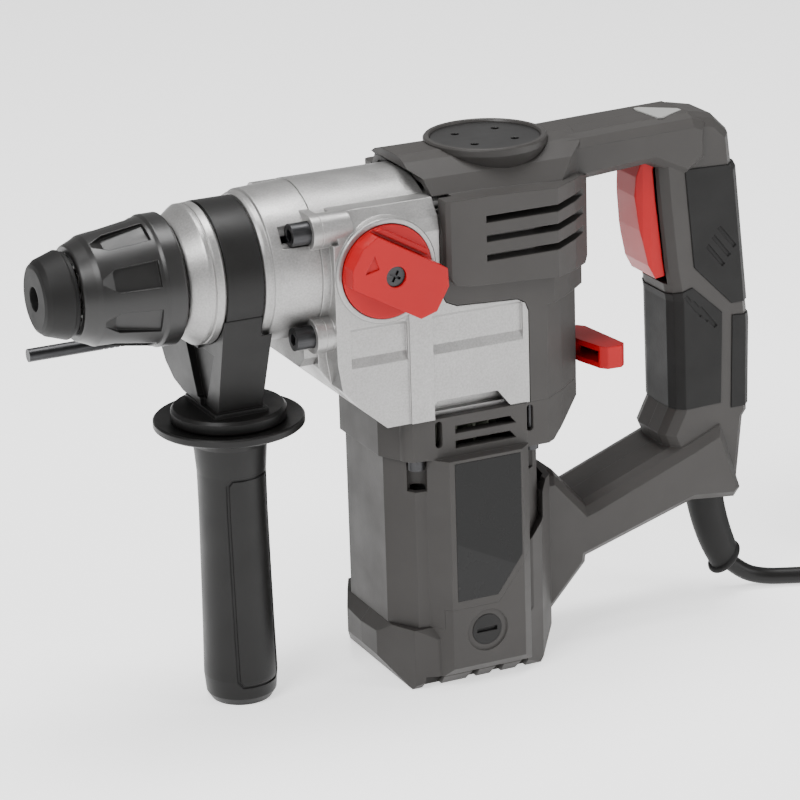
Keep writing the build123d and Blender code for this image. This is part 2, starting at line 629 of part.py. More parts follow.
def brush_holders():
    holder = y_rod(6.6, 20, 38, MOTOR_X + 0.5, -173.9) - block(MOTOR_X - 2.6, MOTOR_X + 3.6, 19, 39, -178,
            -169.8)
    return [holder, mirror(holder, about=Plane.XZ)]


def carbon_brushes():
    brush = block(MOTOR_X - 2.5, MOTOR_X + 3.5, 13.4, 28, -177.9, -169.9)
    return [brush, mirror(brush, about=Plane.XZ)]


# ---------------------------------------------------------------- clamshell

GRIP = [(286, 20), (287.5, 2), (291, -30), (294, -46), (295, -98), (289, -110), (305, -146),
        (325, -146.5),
        (329.5, -141), (333, -108), (335.2, -105), (335.6, -60), (334.6, -51), (328.5, 14.7), (326.6, 17),
        (325, 31), (317, 39), (305, 41.5), (288, 41)]
BAR = [(228, 15), (240, 17.6), (282, 20.6), (300, 12), (312, 20), (312, 38), (304, 41.5), (262, 40.5),
       (228, 39.5)]
ARM = [(228, -166), (246, -160.8), (302, -144), (325, -146.5), (329.5, -141), (318, -106), (300, -113.5),
       (250, -132.4), (232, -138)]
HEEL = [(224, -188), (247, -163), (250, -137), (231, -115.5), (206, -116), (206, -189)]


def lower_cap(inset):
    body = grown_plan(CAP_PLAN, -inset, FLOOR + inset, -110)
    pod = grown_plan(POD_PLAN, -inset, FLOOR + 6 + inset, -110)
    low_edge = side_prism([(144.3 + inset, -110), (144.3 + inset, -171), (139.5 + inset, -177),
                           (139.5 + inset, -187), (149 + inset, FLOOR + inset),
                           (214 - inset, FLOOR + inset),
                           (228 - inset, -186), (240, -170), (240, -110)], -60, 60)
    body &= front_prism([(-36.2 + inset, -110), (-36.2 + inset, -171), (-39.5 + inset, -176.5),
                         (-39.5 + inset, -205), (39.5 - inset, -205), (39.5 - inset, -176.5),
                         (36.2 - inset, -171), (36.2 - inset, -110)], 130, 245)
    cross = front_prism([(-46, -110), (-46, -188), (-34, FLOOR + inset), (34, FLOOR + inset), (46, -188),
                         (46, -110)], 130, 245)
    amount = 0.01 if inset == 0 else 0.0
    seam = grown_side(SEAM, -amount, -60, 60) if inset == 0 else block(130, 240, -60, 60, -210, -100)
    return (body + pod) & low_edge & cross & seam


def rear_frame(inset):
    frame = beam(GRIP, GRIP_HALF, inset) + beam(BAR, BAR_HALF, inset)
    return (frame + beam(ARM, ARM_HALF, inset)
            + (beam(HEEL, ARM_HALF, inset) & block(214, 260, -60, 60, -190, -100)))


def pad_zones():
    """Side views of the three soft inlays of the grip."""
    upper = [(299.4, 16.7), (304.1, -30.2), (323.6, -50.1), (350, -50.1), (350, 15)]
    front = [(270, -44.2), (286, -44.8), (303, -39.6), (318.5, -53.7), (317.9, -97.6), (270, -98.6)]
    heel = [(324, -56), (350, -58), (350, -101), (323.5, -101)]
    return [upper, front, heel]


GROOVE_STARTS = [(303.5, -45.5), (307.5, -49), (300, -42.6), (311.5, -20), (314.5, -16), (317.5, -12)]


def grip_pads():
    skin = beam(GRIP, GRIP_HALF, -0.5) - beam(GRIP, GRIP_HALF, 1.5)
    pads = []
    grooves = [[(x, z), (x + 8.5, z - 10.5), (x + 7.0, z - 11.6), (x - 1.5, z - 1.1)]
               for x, z in GROOVE_STARTS]
    for zone in pad_zones():
        pad = skin & side_prism(zone, -30, 30)
        for groove in grooves:
            pad -= both_sides(side_prism(groove, -20, -17.4))
        pads += pad.solids()
    return pads


def pad_pockets():
    skin = beam(GRIP, GRIP_HALF, -0.6) - beam(GRIP, GRIP_HALF, 1.5)
    return [skin & side_prism(zone, -30, 30) for zone in pad_zones()]


SCREW_SPOTS = [(257, 29, BAR_HALF), (315, 28, GRIP_HALF), (311, -124, ARM_HALF), (262, -145, ARM_HALF),
               (219, -180, 30.0), (150, -183, 30.0)]


def shells():
    outer = shroud(0) + lower_cap(0) + rear_frame(0)
    window = block(240, 247, -16.5, 16.5, -69, -53.5) + block(234, 247, 7.2, 22, -69, -53.5)
    trigger_slot = block(268, 303, -TRIGGER_HALF - 0.5, TRIGGER_HALF + 0.5, -38, 32)
    inner = shroud(3.6) + lower_cap(SHELL_WALL) + rear_frame(SHELL_WALL)
    inner += grown_side(SHROUD_SIDE, 1, -60, 60) & block(160, 174.5, -34.4, 34.4, CASING_BOTTOM, 27)
    body = outer - inner
    bulkhead = (outer & block(158, 166, -60, 60, 15, 60)) - x_rod(CASING_RADIUS + 0.3, 150, 170)
    body += bulkhead - block(158, 167, -38.4, 38.4, -80, 27.3)
    for x, z, half in SCREW_SPOTS:
        body += y_rod(5.2, -half + 2, half - 2, x, z) & outer
    ledge = (lower_cap(0) & block(138, 240, -60, 60, -175, -120)) - motor_column(-1.0, -180, -110)
    body += ledge - plan_prism([(158, -32), (158, 32), (209, 32), (209, -32)], -180, -110)
    body -= window + trigger_slot
    for pocket in pad_pockets():
        body -= pocket
    for x, z, half in SCREW_SPOTS:
        body -= y_rod(2.0, -8, half + 20, x, z) + y_rod(4.4, half - 5, half + 20, x, z)
    for z in (16.6, 7.9, -0.8):
        for side in (-1, 1):
            body -= block(187, 252, min(side * 24, side * 50), max(side * 24, side * 50), z - 1.6,
                          z + 1.6)
    body -= z_turned(CRANK_X, (0, 20), (24.3, 20), (24.3, 30), (LID_RADIUS + 0.1, 38.9),
                     (LID_RADIUS + 0.1, 60), (0, 60))
    body += z_rod(12.5, -197, -189.2, MOTOR_X) - z_rod(11, -196, -189, MOTOR_X)
    for side in (-1, 1):
        near, far = min(side * 28, side * 50), max(side * 28, side * 50)
        body -= y_rod(7.2, near, far, MOTOR_X + 0.5, -173.9)
        ring_low, ring_high = min(side * 43.2, side * 50), max(side * 43.2, side * 50)
        body -= y_rod(10, ring_low, ring_high, MOTOR_X + 0.5, -173.9)
        for x0, x1 in ((153, 164), (175, 181.5), (187, 194), (200, 206.5)):
            notch = [(x0, -205), (x0 + 1.5, -194), (x1 - 1.5, -194), (x1, -205)]
            body -= side_prism(notch, min(side * 31.5, side * 50), max(side * 31.5, side * 50))
    body -= Pos(317.8, 0, -146) * Rot(0, -12, 0) * Cylinder(10.0, 24)
    left = body & block(100, 400, -80, 0, -210, 80)
    right = body & block(100, 400, 0, 80, -210, 80)
    return left, right


def shell_screws():
    screws = []
    for x, z, half in SCREW_SPOTS:
        screws.append(y_rod(3.9, half - 5, half - 2.4, x, z) + y_rod(2.0, -7.5, half - 5, x, z))
    return screws


def lid_ring():
    return z_turned(CRANK_X, (23.0, 30), (24.2, 30), (LID_RADIUS, 38.9), (LID_RADIUS, 41.6), (26.9, 42.4),
                    (25.2, 42.4),
                    (24.6, 41.4), (24.6, 38), (21.5, 38), (21.5, 33), (23.0, 33))


def grease_cap():
    body = z_rod(24.5, 38, 41.2, CRANK_X) + z_rod(21.4, 26.2, 38, CRANK_X)
    for k in range(4):
        angle = math.radians(45 + 90 * k)
        body -= z_rod(1.9, 38.6, 42, CRANK_X + 14 * math.cos(angle), 14 * math.sin(angle))
    return body


def trigger():
    outline = [(282.5, 27), (279, 14), (278.4, 5), (280.2, -11), (284, -28), (287.5, -34.5),
               (292.2, -33.8),
               (291, -26), (287.6, 2), (286.2, 17.2), (291, 27)]
    slab = side_prism(outline, -TRIGGER_HALF, TRIGGER_HALF)
    nose = plan_prism(mirrored([(276.5, 0), (276.8, -5.5), (278.6, -8.8), (281.5, -10.8),
                                (285.5, -TRIGGER_HALF),
                                (300, -TRIGGER_HALF), (300, 0)]), -60, 60)
    return (slab & nose) - y_rod(2.5 + RUNNING, -12, 12, 286, 24)


def trigger_switch():
    return block(262.8, 277, -8, 8, 22.6, 36) + block(277, 279.6, -3, 3, 26, 30)


# ---------------------------------------------------------------- side handle

def clamp_band():
    return x_rod(31.3, 70, 86.6) - x_rod(29.65, 69, 88)


def handle_bracket():
    top = Pos(0, 0, -4) * make_face(Polyline((69, -30.4), (93, -30.4), (93, 30.4), (69, 30.4),
                                             close=True))
    foot = Pos(0, 0, -62) * make_face(Polyline((69, -15), (89.6, -15), (89.6, 15), (69, 15), close=True))
    body = loft([foot.face(), top.face()], ruled=True)
    wing = [(0, -60), (20, -59.5), (31, -57), (40, -51.5), (46, -44), (48, -36), (46.5, -29), (40, -24),
            (26, -16),
            (0, -20)]
    body += front_prism(wing, 67, 86)
    body += z_turned(HANDLE_X, (0, -68.2), (25.2, -68.2), (25.6, -67.4), (25.6, -63.4), (24.4, -62),
                     (0, -62))
    body += block(66.8, 91.8, -17.4, 17.4, -62, -60)
    body -= x_rod(31.3, 60, 86.8) + x_rod(34.9, 86.8, 100)
    body -= z_rod(4.1, -70, -30, HANDLE_X)
    body -= Pos(HANDLE_X, 0, -41) * extrude(RegularPolygon(7.6, 6), 20)
    body -= x_rod(ROD_RADIUS + 0.3, 60, 100, ROD_Y, ROD_Z)
    front_cut = front_prism([(-14, -34), (-3, -57), (3, -57), (14, -34)], 66, 70.2)
    return body - front_cut


def clamp_bolt():
    head = Pos(HANDLE_X, 0, -41) * extrude(RegularPolygon(7.4, 6), 5.5)
    return head + z_rod(4.0, -112, -41, HANDLE_X)


def side_grip():
    body = z_turned(HANDLE_X, (0, -68.6), (25, -68.6), (32.8, -67.2), (33.5, -67.9), (33.5, -70.4),
                    (32.6, -71.2),
                    (26, -72.6), (18.6, -75.2), (16.4, -79), (15.4, -92), (15.3, -110), (15.7, -140),
                    (16.2, -170),
                    (16.6, -188), (15.8, -196.5), (13.6, FLOOR), (0, FLOOR))
    panel = side_prism([(71, -92), (89, -92), (91, -95), (91, -188), (89, -191), (71, -191), (69, -188),
                        (69, -95)], -20, -8)
    panel -= side_prism([(71.5, -93.2), (88.5, -93.2), (89.8, -95.2), (89.8, -187.8), (88.5, -189.8),
                         (71.5, -189.8),
                         (70.2, -187.8), (70.2, -95.2)], -21, -7)
    core = z_turned(HANDLE_X, (0, -80), (15.6, -80), (14.8, -92), (14.7, -110), (15.1, -140),
                    (15.6, -170),
                    (16.0, -188), (15.2, -196.5), (0, -196.5))
    body -= Pos(HANDLE_X, 0, 0) * Rot(0, 0, 14) * Pos(-HANDLE_X, 0, 0) * (panel - core)
    return body - z_rod(4.4, -115, -60, HANDLE_X)


def depth_rod():
    body = x_rod(ROD_RADIUS, 3.6, 168, ROD_Y, ROD_Z)
    for k in range(44):
        x = 38 + 2.6 * k
        body -= block(x, x + 1.3, ROD_Y - 4, ROD_Y + 4, ROD_Z - 4, ROD_Z - 2.2)
    return body


# ---------------------------------------------------------------- mains cord

RELIEF_PATH = [(317.8, -141), (319.6, -152), (322.6, -164), (326.6, -175), (331.2, -184)]
CORD_ROUTE = [(331.2, 0, -184), (338.6, -0.6, -191.6), (349.5, -3.2, -195.7), (363, -8.4, -196),
              (379, -15, -196),
              (400, -21.6, -196), (426, -25.8, -196), (452, -26.6, -196)]
PLUG_Y = COIL_Y - 19.0


def tail_route():
    """The end of the cord, which rises from the coil's top turn into the plug."""
    points = []
    for degrees, radius, z in ((-95, 47, -181), (-70, 48.4, -178), (-48, 49, -171.5)):
        angle = math.radians(degrees)
        points.append((COIL_X + radius * math.cos(angle), COIL_Y + radius * math.sin(angle), z))
    return points + [(COIL_X + COIL_MIDDLE, PLUG_Y - 14, -163.6), (COIL_X + COIL_MIDDLE, PLUG_Y, -163.6)]


def cord_tube(route):
    points = [Vector(*p) for p in route]
    radii = []
    for before, corner, after in zip(points, points[1:], points[2:]):
        arriving, leaving = corner - before, after - corner
        turn = math.radians(arriving.get_angle(leaving))
        radii.append(0.45 * min(arriving.length, leaving.length) / math.tan(turn / 2))
    print("cord radii", [round(r, 1) for r in radii])
    path = FilletPolyline(*points, radius=radii)
    solid = sweep(Plane(points[0], z_dir=points[1] - points[0]) * Circle(CORD_RADIUS), path=path)
    print("cord length", round(path.length, 1), "volume", round(solid.volume),
          "section times length", round(math.pi * CORD_RADIUS ** 2 * path.length))
    ring = tube(z_rod(COIL_MIDDLE + COIL_HALF, FLOOR - 1, FLOOR + 25, COIL_X, COIL_Y),
                z_rod(COIL_MIDDLE - COIL_HALF, FLOOR - 1, FLOOR + 25, COIL_X, COIL_Y))
    return (solid - ring).solids().sort_by(SortBy.VOLUME)[-1]


def strain_relief():
    """Bent sleeve with a bead at its mouth and a flange caught inside the shell."""
    sections = []
    radii = (8.9, 8.8, 8.5, 8.1, 7.8)
    for k, ((x, z), radius) in enumerate(zip(RELIEF_PATH, radii)):
        before, after = RELIEF_PATH[max(k - 1, 0)], RELIEF_PATH[min(k + 1, len(RELIEF_PATH) - 1)]
        heading = Vector(after[0] - before[0], 0, after[1] - before[1])
        if k == len(RELIEF_PATH) - 1:
            heading = Vector(*CORD_ROUTE[1]) - Vector(*CORD_ROUTE[0])
        sections.append(Plane((x, 0, z), z_dir=heading) * Circle(radius))
    body = loft([s.face() for s in sections])
    end = Plane(CORD_ROUTE[0], z_dir=Vector(*CORD_ROUTE[1]) - Vector(*CORD_ROUTE[0]))
    bead = end * Pos(0, 0, -1.8) * Torus(7.9, 1.5)
    return body + bead


def cord_coil():
    inner, outer = COIL_MIDDLE - COIL_HALF, COIL_MIDDLE + COIL_HALF
    low, high = FLOOR + 1, FLOOR + 25
    profile = [(inner, low + 3), (inner + 3, low), (outer - 3, low), (outer, low + 3), (outer, high - 3),
               (outer - 3, high), (inner + 3, high), (inner, high - 3)]
    face = make_face(Polyline(*[(COIL_X + r, COIL_Y, z) for r, z in profile], close=True))
    return revolve(face, Axis((COIL_X, COIL_Y, 0), (0, 0, 1)), 360)


def cord_tie():
    inner, outer = COIL_MIDDLE - COIL_HALF, COIL_MIDDLE + COIL_HALF
    strap = block(inner - 1.9, outer + 1.4, -6, 6, FLOOR, FLOOR + 26.2)
    strap -= block(inner - 0.7, outer + 0.1, -7, 7, FLOOR + 1, FLOOR + 25)
    return Pos(COIL_X, COIL_Y, 0) * Rot(0, 0, 110) * strap


def plug():
    x, y, z = COIL_X + COIL_MIDDLE, PLUG_Y, -163.6
    tail = Pos(x, y, z) * Rot(-90, 0, 0) * Cone(5.2, 8.0, 16, align=MIN)
    outline = [(-17, 0), (-17.6, 12), (-17.6, 28), (17.6, 28), (17.6, 12), (17, 0), (9, -6), (-9, -6)]
    body = plan_prism([(x + a, y + 14 + b) for a, b in outline], FLOOR + 25.0, z + 11.4)
    pins = [y_rod(2.4, y + 42, y + 61, x + side * 9.3, z) for side in (-1, 1)]
    return tail + body + pins[0] + pins[1]


def write(name, shape):
    if isinstance(shape, list):
        shape = Compound(children=[Solid(s.solids()[0].wrapped) for s in shape])
    export_step(shape, f"parts/{name}.step")


os.makedirs("parts", exist_ok=True)
handle_shell_left, handle_shell_right = shells()
PARTS = {
    "dust_cap": dust_cap(), "locking_sleeve": locking_sleeve(), "sleeve_spring": sleeve_spring(),
    "locking_balls": locking_balls(), "tool_holder": tool_holder(), "impact_bolt": impact_bolt(),
    "hammer_tube": hammer_tube(), "striker": striker(), "piston": piston(), "piston_pin": piston_pin(),
    "connecting_rod": connecting_rod(), "crankshaft": crankshaft(), "crank_gear": crank_gear(),
    "bevel_gear": bevel_gear(), "intermediate_shaft": layshaft(), "intermediate_gear": layshaft_gear(),
    "shaft_bearings": shaft_bearings(), "tube_bearings": tube_bearings(), "oil_seal": oil_seal(),
    "front_cover": front_cover(), "cover_screws": cover_screws(), "gear_housing": gear_housing(),
    "gear_plate": gear_plate(), "selector_knob": selector_knob(), "knob_screw": knob_screw(),
    "shift_fork": shift_fork(), "function_lever": function_lever(), "motor_housing": motor_housing(),
    "label_plates": label_plates(), "housing_screws": housing_screws(),
    "armature_shaft": armature_shaft(),
    "armature_core": armature_core(), "armature_windings": armature_windings(),
    "commutator": commutator(),
    "fan": fan(), "armature_bearings": armature_bearings(), "stator_core": stator_core(),
    "field_coils": field_coils(), "brush_caps": brush_caps(), "brush_holders": brush_holders(),
    "carbon_brushes": carbon_brushes(), "handle_shell_left": handle_shell_left,
    "handle_shell_right": handle_shell_right, "shell_screws": shell_screws(), "grip_pads": grip_pads(),
    "lid_ring": lid_ring(), "grease_cap": grease_cap(), "trigger": trigger(),
    "trigger_switch": trigger_switch(),
    "clamp_band": clamp_band(), "handle_bracket": handle_bracket(), "clamp_bolt": clamp_bolt(),
    "side_grip": side_grip(), "depth_rod": depth_rod(), "strain_relief": strain_relief(),
    "cord": [cord_tube(CORD_ROUTE), cord_tube(tail_route())], "cord_coil": cord_coil(),
    "cord_tie": cord_tie(),
    "plug": plug(),
}
for part_name, part_shape in PARTS.items():
    write(part_name, part_shape)
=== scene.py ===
import bmesh
import bpy
import math
from mathutils import Matrix, Vector


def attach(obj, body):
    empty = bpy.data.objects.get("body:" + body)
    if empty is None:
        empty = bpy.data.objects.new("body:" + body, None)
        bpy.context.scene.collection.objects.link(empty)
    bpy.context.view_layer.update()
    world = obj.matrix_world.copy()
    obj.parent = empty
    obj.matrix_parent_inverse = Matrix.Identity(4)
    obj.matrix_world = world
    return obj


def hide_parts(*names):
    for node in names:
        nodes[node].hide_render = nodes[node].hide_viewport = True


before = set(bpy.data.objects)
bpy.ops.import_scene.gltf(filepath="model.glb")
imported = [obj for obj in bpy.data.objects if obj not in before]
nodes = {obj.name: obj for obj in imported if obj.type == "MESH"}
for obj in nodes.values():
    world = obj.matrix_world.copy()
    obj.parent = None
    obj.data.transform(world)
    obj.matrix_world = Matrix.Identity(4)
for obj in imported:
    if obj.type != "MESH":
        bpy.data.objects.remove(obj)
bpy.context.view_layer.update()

MM = 0.001
FLOOR = -0.200              # height of the floor, in metres, with the spindle's axis at 0
MIDDLE = (0.16, 0, -0.06)   # the place that the lamps point at, in metres


# ---------------------------------------------------------------- camera

TARGET = Vector((0.16278, 0, -0.07467))
DISTANCE = 1.61369
AZIMUTH, ELEVATION, ROLL = -24.63, 19.17, -1.77
LENS = 162.0


def aim_camera(target, distance, azimuth, elevation, roll, lens):
    """Looks at target from azimuth and elevation, in degrees, turned by roll about the view axis."""
    az, el, turn = (math.radians(v) for v in (azimuth, elevation, roll))
    back = Vector((math.sin(az) * math.cos(el), -math.cos(az) * math.cos(el), math.sin(el)))
    right = Vector((math.cos(az), math.sin(az), 0))
    up = back.cross(right)
    side = math.cos(turn) * right + math.sin(turn) * up
    over = -math.sin(turn) * right + math.cos(turn) * up
    data = bpy.data.cameras.new("view")
    data.lens = lens
    data.sensor_width = 36
    data.clip_end = 20
    camera = bpy.data.objects.new("view", data)
    bpy.context.scene.collection.objects.link(camera)
    turned = Matrix((side, over, back)).transposed().to_4x4()
    camera.matrix_world = Matrix.Translation(target + back * distance) @ turned
    bpy.context.scene.camera = camera


aim_camera(TARGET, DISTANCE, AZIMUTH, ELEVATION, ROLL, LENS)


# ---------------------------------------------------------------- cord

# Millimetres. Each turn of the coil is a radius and a height, and each point of its tail an angle,
# a radius and a height.
CORD_RADIUS = 4.0
CORD_ROUTE = [(331.2, 0, -184), (338.6, -0.6, -191.6), (349.5, -3.2, -195.7), (363, -8.4, -196),
              (379, -15, -196), (400, -21.6, -196), (426, -25.8, -196), (452, -26.6, -196)]
COIL_X, COIL_Y, COIL_MIDDLE = 462.0, 25.0, 44.0
COIL_TURNS = [(52, -195), (44, -195), (36, -195), (36, -187), (44, -187), (52, -187), (52, -179),
              (44, -179)]
COIL_START = -82            # angle at which the first turn begins
EASE_FROM = 0.66            # share of a turn after which it eases into the next one
POINTS_PER_TURN = 18
TAIL_TURN = [(-95, 46, -179), (-70, 48.4, -177), (-48, 49, -171.5)]
PLUG_Y, PLUG_Z = 6.0, -163.6
PLUG_RUN = 14.0             # straight length of cord in front of the plug


def on_ring(degrees, radius, z):
    angle = math.radians(degrees)
    return (COIL_X + radius * math.cos(angle), COIL_Y + radius * math.sin(angle), z)


def coil_points():
    """Turns of the put-away length, each easing into the next over its last third."""
    points = []
    rounder = 1 / math.cos(math.pi / POINTS_PER_TURN)
    for k, (radius, z) in enumerate(COIL_TURNS):
        next_radius, next_z = COIL_TURNS[min(k + 1, len(COIL_TURNS) - 1)]
        for step in range(POINTS_PER_TURN):
            turned = step / POINTS_PER_TURN
            share = max(0.0, (turned - EASE_FROM) / (1 - EASE_FROM))
            eased = radius + (next_radius - radius) * share
            degrees = COIL_START + 360 * turned
            points.append(on_ring(degrees, eased * rounder, z + (next_z - z) * share))
    return points[:-1]


def make_cord():
    tail = [on_ring(*point) for point in TAIL_TURN]
    tail += [(COIL_X + COIL_MIDDLE, y, PLUG_Z) for y in (PLUG_Y - PLUG_RUN, PLUG_Y)]
    route = CORD_ROUTE + coil_points() + tail
    curve = bpy.data.curves.new("mains_cord", "CURVE")
    curve.dimensions = "3D"
    curve.bevel_depth = 1.0  # times each point's radius, which keeps the box round the curve true
    curve.bevel_resolution = 6
    curve.resolution_u = 8
    spline = curve.splines.new("NURBS")
    spline.points.add(len(route) - 1)
    for point, place in zip(spline.points, route):
        point.co = (*(v * MM for v in place), 1)
        point.radius = CORD_RADIUS * MM
    spline.order_u = 3
    spline.use_endpoint_u = True
    cord = bpy.data.objects.new("mains_cord", curve)
    bpy.context.scene.collection.objects.link(cord)
    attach(cord, "body")
    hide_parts("cord", "cord_coil")
    return cord


cord = make_cord()


# ---------------------------------------------------------------- materials

class Graph:
    """Short names for wiring a material's nodes."""

    def __init__(self, name):
        self.material = bpy.data.materials.new(name)
        self.material.use_nodes = True
        self.tree = self.material.node_tree
        self.surface = self.tree.nodes["Principled BSDF"]
        place = self.add("ShaderNodeTexCoord")
        self.place = place.outputs["Object"]

    def add(self, kind, **settings):
        node = self.tree.nodes.new(kind)
        for key, value in settings.items():
            setattr(node, key, value)
        return node

    def wire(self, source, target):
        self.tree.links.new(source, target)

    def noise(self, size_mm, detail=3.0, rough=0.55):
        node = self.add("ShaderNodeTexNoise")
        node.inputs["Scale"].default_value = 1000.0 / size_mm
        node.inputs["Detail"].default_value = detail
        node.inputs["Roughness"].default_value = rough
        self.wire(self.place, node.inputs["Vector"])
        return node.outputs["Fac"]

    def spread(self, value, low, high, in_low=0.3, in_high=0.7):
        """Stretches a value between in_low and in_high to lie between low and high."""
        node = self.add("ShaderNodeMapRange")
        limits = {"From Min": in_low, "From Max": in_high, "To Min": low, "To Max": high}
        for socket, number in limits.items():
            node.inputs[socket].default_value = number
        self.wire(value, node.inputs["Value"])
        return node.outputs["Result"]

    def mix(self, share, first, second):
        node = self.add("ShaderNodeMix", data_type="RGBA")
        self.wire(share, node.inputs[0])
        for socket, colour in ((node.inputs[6], first), (node.inputs[7], second)):
            if isinstance(colour, tuple):
                socket.default_value = (*colour, 1)
            else:
                self.wire(colour, socket)
        return node.outputs[2]

    def rounded(self, radius_mm):
        """Normals that look rounded at every edge."""
        node = self.add("ShaderNodeBevel", samples=6)
        node.inputs["Radius"].default_value = radius_mm * MM
        return node.outputs["Normal"]

    def edges(self, normal):
        """1 on the rounded edges and 0 on the faces between them."""
        shape = self.add("ShaderNodeNewGeometry")
        dot = self.add("ShaderNodeVectorMath", operation="DOT_PRODUCT")
        self.wire(normal, dot.inputs[0])
        self.wire(shape.outputs["Normal"], dot.inputs[1])
        return self.spread(dot.outputs["Value"], 1.0, 0.0, 0.75, 0.99)

    def bump(self, height, strength, depth_mm, normal=None):
        """Normals bent by a height, on top of other normals if they are given."""
        node = self.add("ShaderNodeBump")
        node.inputs["Strength"].default_value = strength
        node.inputs["Distance"].default_value = depth_mm * MM
        self.wire(height, node.inputs["Height"])
        if normal is not None:
            self.wire(normal, node.inputs["Normal"])
        return node.outputs["Normal"]

    def set_surface(self, **values):
        """Sets the shader's own sockets, with _ for each space in their names."""
        for socket, value in values.items():
            self.surface.inputs[socket.replace("_", " ")].default_value = value


def shade(colour, factor):
    return tuple(min(1.0, v * factor) for v in colour)


def moulded(name, colour, roughness, grain_mm=0.7, grain=0.25, edge_mm=0.6, coat=0.0, edge_highlight_tone=1.25,
            specular=0.25):
    """Moulded plastic or rubber: spark-eroded grain, faint cloudy tone, softer edges made paler by a
    painted highlight.
    """
    g = Graph(name)
    soft = g.rounded(edge_mm)
    tone = g.spread(g.noise(45, 4), 0.0, 1.0)
    base = g.mix(tone, shade(colour, 0.93), shade(colour, 1.07))
    # Rounded edges made paler: a painted highlight in the base colour.
    painted_edge_highlight = g.mix(g.edges(soft), base, shade(colour, edge_highlight_tone))
    g.wire(painted_edge_highlight, g.surface.inputs["Base Color"])
    g.wire(g.spread(g.noise(18, 5), roughness - 0.05, roughness + 0.06), g.surface.inputs["Roughness"])
    g.wire(g.bump(g.noise(grain_mm, 2), grain, 0.12, soft), g.surface.inputs["Normal"])
    g.set_surface(Specular_IOR_Level=specular, Coat_Weight=coat, Coat_Roughness=0.12)
    return g.material


def cast_metal(name, colour, roughness, grain_mm=0.9, grain=0.5):
    """Die-cast and shot-blasted aluminium: sparkling grain, edges brightened by a painted highlight."""
    g = Graph(name)
    soft = g.rounded(0.7)
    speckle = g.spread(g.noise(grain_mm, 2), 0.0, 1.0)
    base = g.mix(speckle, shade(colour, 0.86), shade(colour, 1.1))
    clouds = g.mix(g.spread(g.noise(30, 4), 0.0, 0.35), base, shade(colour, 0.85))
    # Rounded edges made brighter: a painted highlight in the base colour.
    painted_edge_highlight = g.mix(g.edges(soft), clouds, shade(colour, 1.25))
    g.wire(painted_edge_highlight, g.surface.inputs["Base Color"])
    g.set_surface(Metallic=0.75)
    g.wire(g.spread(g.noise(12, 4), roughness - 0.06, roughness + 0.08), g.surface.inputs["Roughness"])
    g.wire(g.bump(g.noise(grain_mm, 3), grain, 0.14, soft), g.surface.inputs["Normal"])
    return g.material


STRETCH = {"X": (0.06, 1, 1), "Y": (1, 0.06, 1), "Z": (1, 1, 0.06)}


def machined(name, colour, roughness, direction, scratch_mm=0.25, strength=0.2):
    """Ground or turned metal, with fine marks stretched along one direction."""
    g = Graph(name)
    soft = g.rounded(0.25)
    stretch = g.add("ShaderNodeMapping")
    stretch.inputs["Scale"].default_value = STRETCH[direction]
    g.wire(g.place, stretch.inputs["Vector"])
    marks = g.add("ShaderNodeTexNoise")
    marks.inputs["Scale"].default_value = 1000.0 / scratch_mm
    marks.inputs["Detail"].default_value = 2
    g.wire(stretch.outputs["Vector"], marks.inputs["Vector"])
    tone = g.mix(g.spread(marks.outputs["Fac"], 0.0, 1.0), shade(colour, 0.85), shade(colour, 1.1))
    # Rounded edges made paler: a painted highlight in the base colour.
    painted_edge_highlight = g.mix(g.edges(soft), tone, shade(colour, 1.3))
    g.wire(painted_edge_highlight, g.surface.inputs["Base Color"])
    g.set_surface(Metallic=1.0)
    g.wire(g.spread(g.noise(9, 4), roughness - 0.05, roughness + 0.1), g.surface.inputs["Roughness"])
    g.wire(g.bump(marks.outputs["Fac"], strength, 0.05, soft), g.surface.inputs["Normal"])
    return g.material


SPLIT_ACROSS = (0.45, 0.0, 0.89)
SPLIT_AT = -0.0400          # metres from the frame's origin, along that direction
SPLIT_BLUR = 0.0005


def label_foil():
    """Black foil with a paler slanting field, split along a line of the plate."""
    g = Graph("label_foil")
    split = g.add("ShaderNodeVectorMath", operation="DOT_PRODUCT")
    split.inputs[1].default_value = SPLIT_ACROSS
    g.wire(g.place, split.inputs[0])
    field = g.spread(split.outputs["Value"], 1.0, 0.0, SPLIT_AT - SPLIT_BLUR, SPLIT_AT)
    base = g.mix(field, (0.004, 0.004, 0.004), (0.009, 0.009, 0.009))
    g.wire(base, g.surface.inputs["Base Color"])
    g.wire(g.spread(g.noise(14, 3), 0.22, 0.32), g.surface.inputs["Roughness"])
    g.wire(g.bump(g.noise(3.0, 2), 0.03, 0.1, g.rounded(0.3)), g.surface.inputs["Normal"])
    g.set_surface(Specular_IOR_Level=0.2)
    return g.material


def laminated(name, colour):
    """Stacked steel sheets under thin lacquer."""
    g = Graph(name)
    sheets = g.add("ShaderNodeTexWave", bands_direction="Z")
    sheets.inputs["Scale"].default_value = 320
    g.wire(g.place, sheets.inputs["Vector"])
    g.wire(g.mix(sheets.outputs["Fac"], shade(colour, 0.7), colour), g.surface.inputs["Base Color"])
    g.set_surface(Metallic=0.9)
    g.wire(g.spread(g.noise(10, 3), 0.38, 0.5), g.surface.inputs["Roughness"])
    g.wire(g.bump(sheets.outputs["Fac"], 0.3, 0.2), g.surface.inputs["Normal"])
    return g.material


def wound(name, colour):
    """Lacquered copper wire laid round in turns."""
    g = Graph(name)
    turns = g.add("ShaderNodeTexWave", bands_direction="Z")
    turns.inputs["Scale"].default_value = 210
    turns.inputs["Distortion"].default_value = 1.5
    g.wire(g.place, turns.inputs["Vector"])
    g.wire(g.mix(turns.outputs["Fac"], shade(colour, 0.45), colour), g.surface.inputs["Base Color"])
    g.set_surface(Metallic=0.85)
    g.wire(g.spread(g.noise(8, 3), 0.28, 0.4), g.surface.inputs["Roughness"])
    g.wire(g.bump(turns.outputs["Fac"], 0.6, 0.4), g.surface.inputs["Normal"])
    return g.material


